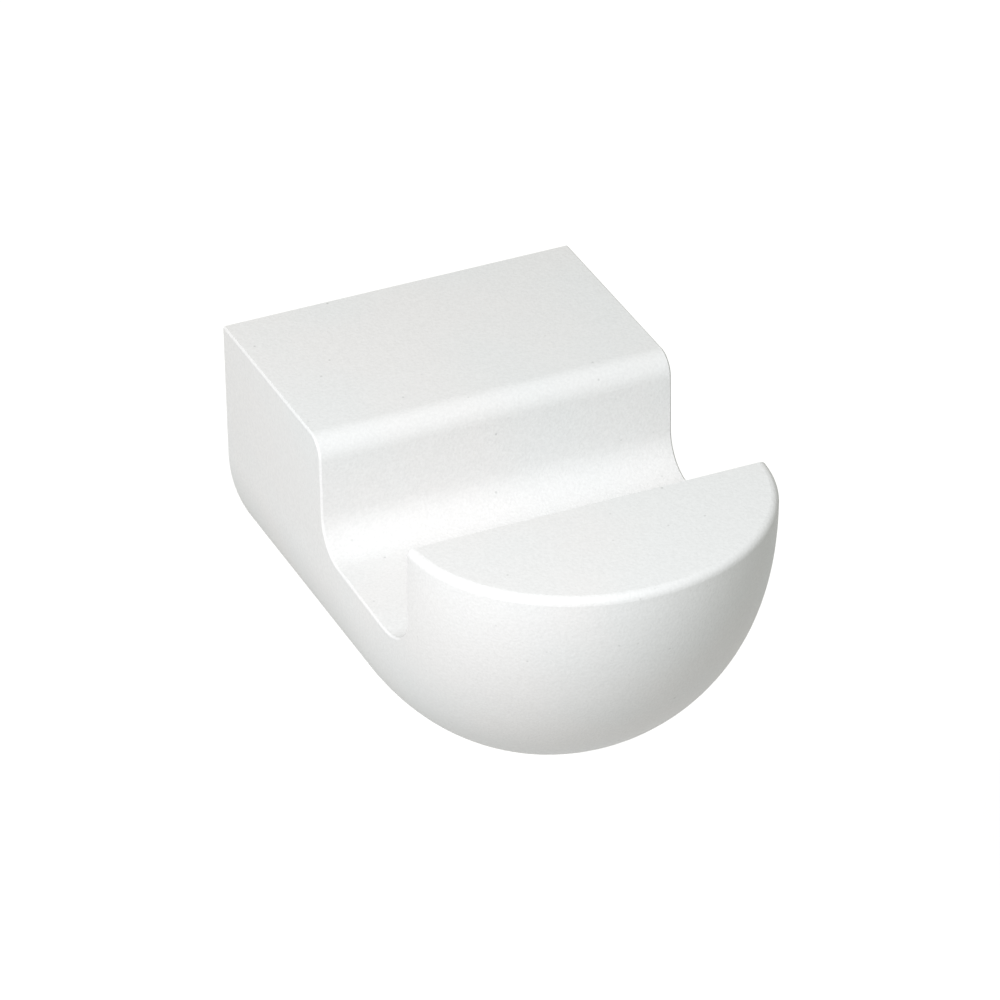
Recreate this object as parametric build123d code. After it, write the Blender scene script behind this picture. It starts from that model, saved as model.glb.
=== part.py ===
from build123d import *
from math import radians, tan
import os

# Wall hook for a bathroom, cast as one piece and powder coated.
# Millimetres. The wall is the plane Y = 0 and the hook stands out of it towards -Y.
# X runs across the wall, Z is up, and the origin is the mouth of the fixing hole.

# Outer form
WIDTH = 30.0               # between the two flat sides
PROJECTION = 50.0          # from the wall to the nose
HEIGHT = 25.5              # from the flat top to the lowest line of the underside
BOTTOM_RISE = 13.8         # height of the rounded bottom, below the straight sides

# Groove across the top
BLOCK_DEPTH = 19.85        # top behind the groove, from the wall
LIP_THICKNESS = 13.25      # top in front of the groove, to the nose
GROOVE_DEPTH = 9.7         # below the top, measured at the block
GROOVE_FALL = 1.5          # degrees by which the floor falls towards the lip
LIP_LEAN = 4.5             # degrees by which the lip's inner wall opens the mouth
BACK_CORNER_RADIUS = 3.0   # hollow corner between the block and the floor
FRONT_CORNER_RADIUS = 4.0  # hollow corner between the floor and the lip
BLOCK_EDGE_RADIUS = 1.8    # long top edge of the block

# Small edges of the casting
NOSE_ROUNDING = 0.6        # curved edge between the top of the lip and the nose
RIM_CHAMFER = 0.15         # sides of the block and the groove, and around the lip's inner wall
WALL_CHAMFER = 0.25        # around the back face

# Fixing hole in the back, for an M6 stud in the wall
HOLE_BELOW_TOP = 11.0      # from the top to the hole's axis
HOLE_RADIUS = 3.0          # outer radius of the M6 thread
HOLE_DEPTH = 13.0          # to the flat bottom of the hole

# Heights and places that follow from the sizes above
top = HOLE_BELOW_TOP
half_width = WIDTH / 2
side_foot = top - (HEIGHT - BOTTOM_RISE)
bend_start = -(PROJECTION - HEIGHT)
block_wall = -BLOCK_DEPTH
lip_wall = -(PROJECTION - LIP_THICKNESS)
fall = tan(radians(GROOVE_FALL))
lean = tan(radians(LIP_LEAN))
lip_foot_depth = (GROOVE_DEPTH + (block_wall - lip_wall) * fall) / (1 + lean * fall)

CLOSE = 1e-4               # how near two places are when they count as the same


def section():
    """Outline across the hook: flat top, straight sides and a half ellipse below."""
    with BuildSketch(Plane.XZ) as outline:
        with BuildLine():
            Polyline((-half_width, side_foot), (-half_width, top), (half_width, top), (half_width, side_foot))
            EllipticalCenterArc((0, side_foot), half_width, BOTTOM_RISE, 180, arc_size=180)
        make_face()
    return outline.sketch.face()


def outer_form():
    """The section carried straight out of the wall, then turned up about a line in the top."""
    straight = extrude(section(), PROJECTION - HEIGHT)
    bend_axis = Axis((0, bend_start, top), (-1, 0, 0))
    bend = revolve(Pos(0, bend_start, 0) * section(), bend_axis, 90)
    return straight + bend


def groove():
    """Trough across the whole width: upright at the block, leaning at the lip, with a falling floor."""
    above = GROOVE_DEPTH
    with BuildSketch(Plane.YZ) as trough:
        with BuildLine():
            walls = FilletPolyline(
                (block_wall, top + above),
                (block_wall, top - GROOVE_DEPTH),
                (lip_wall + lip_foot_depth * lean, top - lip_foot_depth),
                (lip_wall - above * lean, top + above),
                radius=(BACK_CORNER_RADIUS, FRONT_CORNER_RADIUS),
            )
            Line(walls @ 0, walls @ 1)
        make_face()
    return extrude(trough.sketch.face(), WIDTH, both=True)


def top_edges(hook):
    """Edges that lie wholly in the flat top."""
    return hook.edges().filter_by(lambda e: e.bounding_box().min.Z > top - CLOSE)


def rounded_block_edge(hook):
    """Round the long edge where the top of the block drops into the groove."""
    edge = top_edges(hook).filter_by(lambda e: abs(e.center().Y - block_wall) < CLOSE)
    return fillet(edge, BLOCK_EDGE_RADIUS)


def rounded_nose(hook):
    """Round the curved edge where the top of the lip meets the nose."""
    edge = top_edges(hook).filter_by(lambda e: e.center().Y < lip_wall - CLOSE)
    return fillet(edge, NOSE_ROUNDING)


def chamfered_rim(hook):
    """Break the edges of the block's top and of the groove, up to and across the lip's inner wall."""
    lowest = top - lip_foot_depth - CLOSE
    raised = hook.faces().filter_by(lambda f: f.bounding_box().min.Z > lowest)
    across = raised.filter_by(lambda f: f.bounding_box().size.X > CLOSE)
    behind_lip = across.filter_by(lambda f: f.bounding_box().min.Y > lip_wall - CLOSE)
    edges = behind_lip.edges()
    rim = edges.filter_by(lambda e: sum(e.is_same(other) for other in edges) == 1 and e.center().Y < -CLOSE)
    return chamfer(rim, RIM_CHAMFER)


def chamfered_back(hook):
    """Break the outline of the face that lies on the wall."""
    return chamfer(hook.edges().filter_by(lambda e: e.bounding_box().min.Y > -CLOSE), WALL_CHAMFER)


def fixing_hole():
    """Blind hole from the wall side, on the middle line."""
    return Plane.XZ * Cylinder(HOLE_RADIUS, HOLE_DEPTH, align=(Align.CENTER, Align.CENTER, Align.MIN))


hook_body = outer_form() - groove()
hook_body = rounded_block_edge(hook_body)
hook_body = rounded_nose(hook_body)
hook_body = chamfered_rim(hook_body)
hook_body = chamfered_back(hook_body)
hook_body = hook_body - fixing_hole()

os.makedirs("parts", exist_ok=True)
export_step(hook_body, "parts/hook_body.step")
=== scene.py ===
from math import cos, radians, sin

import bmesh
import bpy
import numpy as np
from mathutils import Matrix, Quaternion, Vector


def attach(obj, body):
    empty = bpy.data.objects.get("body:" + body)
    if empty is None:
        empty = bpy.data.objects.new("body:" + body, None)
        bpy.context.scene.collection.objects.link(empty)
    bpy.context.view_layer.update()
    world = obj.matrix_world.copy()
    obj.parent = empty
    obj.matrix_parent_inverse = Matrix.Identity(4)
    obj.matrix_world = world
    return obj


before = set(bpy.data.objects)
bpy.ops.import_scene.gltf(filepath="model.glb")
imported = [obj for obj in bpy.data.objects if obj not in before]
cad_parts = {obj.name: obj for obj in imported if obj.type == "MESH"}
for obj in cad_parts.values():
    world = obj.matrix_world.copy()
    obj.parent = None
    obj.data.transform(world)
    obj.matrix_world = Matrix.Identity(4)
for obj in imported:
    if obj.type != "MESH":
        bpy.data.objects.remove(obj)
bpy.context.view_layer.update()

# Hook body: one solid white wall hook, cast in zinc alloy and powder coated all over.
# The coat is satin white. It melted on in an oven, which left a fine orange peel, faint
# clouds in its tone and a few specks of dust.

COAT_WHITE = (0.876, 0.874, 0.867)
COAT_COOL = (0.856, 0.872, 0.870)   # tone in the middle of a cloud
COAT_IOR = 1.5
COAT_SPECULAR = 0.06                # fitted to the photo's dark lower edge; a real coat has about 0.5
SMOOTHEST = 0.52                    # roughness in the hollows of the peel
ROUGHEST = 0.62                     # roughness on the ripples of the peel
CLOUD_SCALE = 65.0                  # clouds in a metre
CLOUD_START = 0.4                   # noise level at which a cloud begins
CLOUD_FULL = 0.65                   # noise level at which a cloud has its full tone
PEEL_SCALE = 4500.0                 # ripples in a metre
PEEL_LOW = 0.3                      # noise level that counts as a hollow
PEEL_HIGH = 0.7                     # noise level that counts as the top of a ripple
PEEL_STRENGTH = 0.8
PEEL_HEIGHT = 0.00003               # metres
PAINTED_HOLLOW_SHADE = 0.945                  # share of the tone that is left in the hollows of the peel: painted shade
SPECK_GREY = (0.42, 0.43, 0.42)
SPECK_SCALE = 650.0                 # cells in a metre, each with one speck in its middle
SPECK_CORE = 0.02                   # from a speck's middle to where it starts to fade, in cells
SPECK_EDGE = 0.09                   # from a speck's middle to where it ends, in cells
SPECK_FREE = 0.35                   # share of the cells that have no speck
SPECK_MOST = 0.65                   # how much of the grey the darkest speck takes

coat = bpy.data.materials.new("white_powder_coat")
coat.use_nodes = True
nodes = coat.node_tree.nodes
links = coat.node_tree.links
shader = nodes["Principled BSDF"]
shader.inputs["IOR"].default_value = COAT_IOR
shader.inputs["Specular IOR Level"].default_value = COAT_SPECULAR

place = nodes.new("ShaderNodeTexCoord")

# Clouds about 15 mm across turn the white slightly cooler.
clouds = nodes.new("ShaderNodeTexNoise")
clouds.inputs["Scale"].default_value = CLOUD_SCALE
clouds.inputs["Detail"].default_value = 2.0
links.new(place.outputs["Object"], clouds.inputs["Vector"])
cloud_range = nodes.new("ShaderNodeMapRange")
cloud_range.inputs["From Min"].default_value = CLOUD_START
cloud_range.inputs["From Max"].default_value = CLOUD_FULL
links.new(clouds.outputs["Fac"], cloud_range.inputs["Value"])
white = nodes.new("ShaderNodeMix")
white.data_type = "RGBA"
white.inputs["A"].default_value = (*COAT_WHITE, 1)
white.inputs["B"].default_value = (*COAT_COOL, 1)
links.new(cloud_range.outputs["Result"], white.inputs["Factor"])

# Orange peel: ripples about 0.2 mm across with a finer grain on them, as bumps, and painted shade
# that makes the colour slightly darker in the hollows.
peel = nodes.new("ShaderNodeTexNoise")
peel.inputs["Scale"].default_value = PEEL_SCALE
peel.inputs["Detail"].default_value = 1.0
peel.inputs["Roughness"].default_value = 0.55
links.new(place.outputs["Object"], peel.inputs["Vector"])
# Painted shade: the coat's colour is darkened in the hollows of the peel.
hollow = nodes.new("ShaderNodeMapRange")
hollow.inputs["From Min"].default_value = PEEL_LOW
hollow.inputs["From Max"].default_value = PEEL_HIGH
hollow.inputs["To Min"].default_value = PAINTED_HOLLOW_SHADE
hollow.inputs["To Max"].default_value = 1.0
links.new(peel.outputs["Fac"], hollow.inputs["Value"])
coat_with_painted_shade = nodes.new("ShaderNodeVectorMath")
coat_with_painted_shade.operation = "SCALE"
links.new(white.outputs["Result"], coat_with_painted_shade.inputs["Vector"])
links.new(hollow.outputs["Result"], coat_with_painted_shade.inputs["Scale"])
skin = nodes.new("ShaderNodeBump")
skin.inputs["Strength"].default_value = PEEL_STRENGTH
skin.inputs["Distance"].default_value = PEEL_HEIGHT
links.new(peel.outputs["Fac"], skin.inputs["Height"])
links.new(skin.outputs["Normal"], shader.inputs["Normal"])

# Specks: in the middles of cells 1.5 mm apart. Each fades out by 0.3 mm across and is as dark as
# chance has it.
cells = nodes.new("ShaderNodeTexVoronoi")
cells.inputs["Scale"].default_value = SPECK_SCALE
links.new(place.outputs["Object"], cells.inputs["Vector"])
near = nodes.new("ShaderNodeMapRange")
near.inputs["From Min"].default_value = SPECK_CORE
near.inputs["From Max"].default_value = SPECK_EDGE
near.inputs["To Min"].default_value = 1.0
near.inputs["To Max"].default_value = 0.0
links.new(cells.outputs["Distance"], near.inputs["Value"])
chance = nodes.new("ShaderNodeSeparateColor")
links.new(cells.outputs["Color"], chance.inputs["Color"])
dark = nodes.new("ShaderNodeMapRange")
dark.inputs["From Min"].default_value = SPECK_FREE
dark.inputs["To Max"].default_value = SPECK_MOST
links.new(chance.outputs["Red"], dark.inputs["Value"])
amount = nodes.new("ShaderNodeMath")
amount.operation = "MULTIPLY"
links.new(near.outputs["Result"], amount.inputs[0])
links.new(dark.outputs["Result"], amount.inputs[1])
speck = nodes.new("ShaderNodeMix")
speck.data_type = "RGBA"
speck.inputs["B"].default_value = (*SPECK_GREY, 1)
links.new(coat_with_painted_shade.outputs["Vector"], speck.inputs["A"])
links.new(amount.outputs["Value"], speck.inputs["Factor"])
links.new(speck.outputs["Result"], shader.inputs["Base Color"])

# Sheen: the hollows of the peel are a little smoother than its ripples.
sheen = nodes.new("ShaderNodeMapRange")
sheen.inputs["To Min"].default_value = SMOOTHEST
sheen.inputs["To Max"].default_value = ROUGHEST
links.new(peel.outputs["Fac"], sheen.inputs["Value"])
links.new(sheen.outputs["Result"], shader.inputs["Roughness"])

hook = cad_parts["hook_body"]
hook.data.materials.clear()
hook.data.materials.append(coat)

# Thread: the turns of the M6 thread in the hook's fixing hole, seen from the wall side.
# It is tapped in the same casting after the coating, so it is bare zinc alloy, and it runs
# from just inside the mouth to near the bottom of the hole.

THREAD_PITCH = 0.001
THREAD_ROOT = 0.00299      # radius at which the turns leave the hole's wall
THREAD_CREST = 0.00246     # inner radius of the turns
CREST_SHARE = 0.3          # share of the pitch that is flat at the crest
ROOT_SHARE = 0.9           # share of the pitch that a turn takes at its root
SUNK_SHARE = 0.15          # how deep a turn is sunk into the wall, as a share of its height
THREAD_START = 0.0006      # from the mouth to the first turn
THREAD_END = 0.0115        # from the mouth to the last turn
FADE_TURNS = 0.6           # turns over which the thread grows at its start and dies away at its end
THINNEST = 0.05            # share of its width that the ridge keeps at both ends
STEPS_A_TURN = 56


def thread_turns():
    """Turns of the thread: a ridge with a flat crest, carried round the hole's axis.

    The angle t goes round, and depth = start + pitch * t / (2 pi). The ridge's section has five
    points: root, crest, crest, root, and one sunk a little into the wall that closes it. Its
    height and its width are multiplied by a ramp that goes from 0 to 1 at the start and back to
    0 at the end, with a least width that keeps the ends open enough for their closing faces.
    """
    turns = (THREAD_END - THREAD_START) / THREAD_PITCH
    count = int(turns * STEPS_A_TURN) + 1
    t = np.linspace(0.0, turns * 2 * np.pi, count)[:, None]
    ramp = np.clip(np.minimum(t, t[-1] - t) / (FADE_TURNS * 2 * np.pi), 0.0, 1.0)
    along = THREAD_PITCH / 2 * np.array([-ROOT_SHARE, -CREST_SHARE, CREST_SHARE, ROOT_SHARE, 0.0])
    rise = np.array([0.0, 1.0, 1.0, 0.0, -SUNK_SHARE])
    height = (THREAD_ROOT - THREAD_CREST) * rise * np.where(rise > 0, ramp, 1.0)
    radius = THREAD_ROOT - height
    depth = THREAD_START + THREAD_PITCH * t / (2 * np.pi) + along * np.maximum(ramp, THINNEST)
    points = np.stack([radius * np.cos(t), -depth, radius * np.sin(t)], axis=-1)
    ring = np.arange(len(along))
    following = np.roll(ring, -1)
    first = np.arange(count - 1)[:, None] * len(along)
    second = first + len(along)
    corners = [first + ring, first + following, second + following, second + ring]
    sides = np.stack(corners, axis=-1)
    ends = [list(ring[::-1]), list((count - 1) * len(along) + ring)]
    return points.reshape(-1, 3), sides.reshape(-1, 4).tolist() + ends


points, faces = thread_turns()
mesh = bpy.data.meshes.new("hole_thread")
mesh.from_pydata(points.tolist(), [], faces)
mesh.validate()
thread = bpy.data.objects.new("hole_thread", mesh)
bpy.context.scene.collection.objects.link(thread)
work = bmesh.new()
work.from_mesh(mesh)
bmesh.ops.recalc_face_normals(work, faces=work.faces)
work.to_mesh(mesh)
work.free()

BARE_ZINC = (0.60, 0.61, 0.62)
CUT_SCALE = 4000.0         # marks of the tap in a metre
CUT_BRIGHT = 0.28          # roughness where the tap cut clean
CUT_DULL = 0.5             # roughness where it tore
zinc = bpy.data.materials.new("bare_zinc")
zinc.use_nodes = True
nodes = zinc.node_tree.nodes
links = zinc.node_tree.links
shader = nodes["Principled BSDF"]
shader.inputs["Metallic"].default_value = 1.0
shader.inputs["Base Color"].default_value = (*BARE_ZINC, 1)
place = nodes.new("ShaderNodeTexCoord")
cuts = nodes.new("ShaderNodeTexNoise")
cuts.inputs["Scale"].default_value = CUT_SCALE
cuts.inputs["Detail"].default_value = 2.0
links.new(place.outputs["Object"], cuts.inputs["Vector"])
dull = nodes.new("ShaderNodeMapRange")
dull.inputs["To Min"].default_value = CUT_BRIGHT
dull.inputs["To Max"].default_value = CUT_DULL
links.new(cuts.outputs["Fac"], dull.inputs["Value"])
links.new(dull.outputs["Result"], shader.inputs["Roughness"])
mesh.materials.append(zinc)
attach(thread, "root")

# Floor: a large plain pale board well below the hook, which hangs free as it would on a wall.
# The camera and the gloss see it white, with the hook's soft shadow on it.

FLOOR_DROP = 0.11          # below the middle of the fixing hole, in metres
FLOOR_SIZE = 6.0
FLOOR_GREY = (0.8, 0.8, 0.8)
FLOOR_LIFT = 0.62          # strength that takes the grey to white for the camera and the gloss
bpy.ops.mesh.primitive_plane_add(size=FLOOR_SIZE, location=(0, 0, -FLOOR_DROP))
floor = bpy.context.object
floor.name = "floor"
board = bpy.data.materials.new("pale_board")
board.use_nodes = True
nodes = board.node_tree.nodes
links = board.node_tree.links
nodes.clear()
light_path = nodes.new("ShaderNodeLightPath")
direct = nodes.new("ShaderNodeMath")
direct.operation = "ADD"
links.new(light_path.outputs["Is Camera Ray"], direct.inputs[0])
links.new(light_path.outputs["Is Glossy Ray"], direct.inputs[1])
seen = nodes.new("ShaderNodeMath")
seen.operation = "ADD"
seen.use_clamp = True
links.new(direct.outputs["Value"], seen.inputs[0])
links.new(light_path.outputs["Is Transmission Ray"], seen.inputs[1])
paint = nodes.new("ShaderNodeBsdfDiffuse")
paint.inputs["Color"].default_value = (*FLOOR_GREY, 1)
glow = nodes.new("ShaderNodeEmission")
lift = nodes.new("ShaderNodeMath")
lift.operation = "MULTIPLY"
lift.inputs[1].default_value = FLOOR_LIFT
links.new(seen.outputs["Value"], lift.inputs[0])
links.new(lift.outputs["Value"], glow.inputs["Strength"])
both = nodes.new("ShaderNodeAddShader")
links.new(paint.outputs["BSDF"], both.inputs[0])
links.new(glow.outputs["Emission"], both.inputs[1])
surface = nodes.new("ShaderNodeOutputMaterial")
links.new(both.outputs["Shader"], surface.inputs["Surface"])
floor.data.materials.append(board)

# Studio light: an even pale room, which the camera and the gloss see white, and one large
# soft box at the front left, above the hook.

ROOM_LEVEL = 0.46          # light of the room on the hook
ROOM_TINT = (1.0, 1.0, 0.94)
world = bpy.data.worlds.new("studio")
bpy.context.scene.world = world
world.use_nodes = True
nodes = world.node_tree.nodes
links = world.node_tree.links
light_path = nodes.new("ShaderNodeLightPath")
direct = nodes.new("ShaderNodeMath")
direct.operation = "ADD"
links.new(light_path.outputs["Is Camera Ray"], direct.inputs[0])
links.new(light_path.outputs["Is Glossy Ray"], direct.inputs[1])
seen = nodes.new("ShaderNodeMath")
seen.operation = "ADD"
seen.use_clamp = True
links.new(direct.outputs["Value"], seen.inputs[0])
links.new(light_path.outputs["Is Transmission Ray"], seen.inputs[1])
level = nodes.new("ShaderNodeMapRange")
level.inputs["To Min"].default_value = ROOM_LEVEL
level.inputs["To Max"].default_value = 1.0
links.new(seen.outputs["Value"], level.inputs["Value"])
links.new(level.outputs["Result"], nodes["Background"].inputs["Strength"])
tint = nodes.new("ShaderNodeMix")
tint.data_type = "RGBA"
tint.inputs["A"].default_value = (*ROOM_TINT, 1)
tint.inputs["B"].default_value = (1, 1, 1, 1)
links.new(seen.outputs["Value"], tint.inputs["Factor"])
links.new(tint.outputs["Result"], nodes["Background"].inputs["Color"])


def direction(azimuth, height):
    """Unit vector from the hook out to a place at this azimuth from the front and this height."""
    return Vector((sin(azimuth) * cos(height), -cos(azimuth) * cos(height), sin(height)))


HOOK_MIDDLE = Vector((0.0, -0.032, 0.0))
KEY_DISTANCE = 0.27        # metres
KEY_AZIMUTH = radians(-52)
KEY_HEIGHT = radians(42)
KEY_POWER = 0.60           # watts
KEY_COLOUR = (0.96, 0.96, 1.0)
KEY_SIZE = 0.1             # metres
towards = direction(KEY_AZIMUTH, KEY_HEIGHT)
box = bpy.data.lights.new("soft_box", "AREA")
box.energy = KEY_POWER
box.color = KEY_COLOUR
box.size = KEY_SIZE
soft_box = bpy.data.objects.new("soft_box", box)
bpy.context.scene.collection.objects.link(soft_box)
soft_box.location = HOOK_MIDDLE + towards * KEY_DISTANCE
soft_box.rotation_euler = towards.to_track_quat("Z", "Y").to_euler()
soft_box.visible_camera = False

# Camera: at the front left and above, looking at the middle of the hook, very slightly rolled.

AZIMUTH = radians(-23.48)
ELEVATION = radians(31.90)
ROLL = radians(-1.01)
AIM = Vector((-0.00209, -0.02491, 0.00523))
DISTANCE = 0.55284         # metres from the aim
FOCAL_LENGTH = 256.76      # millimetres, on a sensor of the next width
SENSOR_WIDTH = 36.0
back = direction(AZIMUTH, ELEVATION)
lens = bpy.data.cameras.new("camera")
lens.lens = FOCAL_LENGTH
lens.sensor_width = SENSOR_WIDTH
lens.clip_start = 0.01
camera = bpy.data.objects.new("camera", lens)
bpy.context.scene.collection.objects.link(camera)
camera.location = AIM + back * DISTANCE
camera.rotation_mode = "QUATERNION"
camera.rotation_quaternion = back.to_track_quat("Z", "Y") @ Quaternion((0, 0, 1), ROLL)
bpy.context.scene.camera = camera
bpy.context.scene.view_settings.view_transform = "Standard"
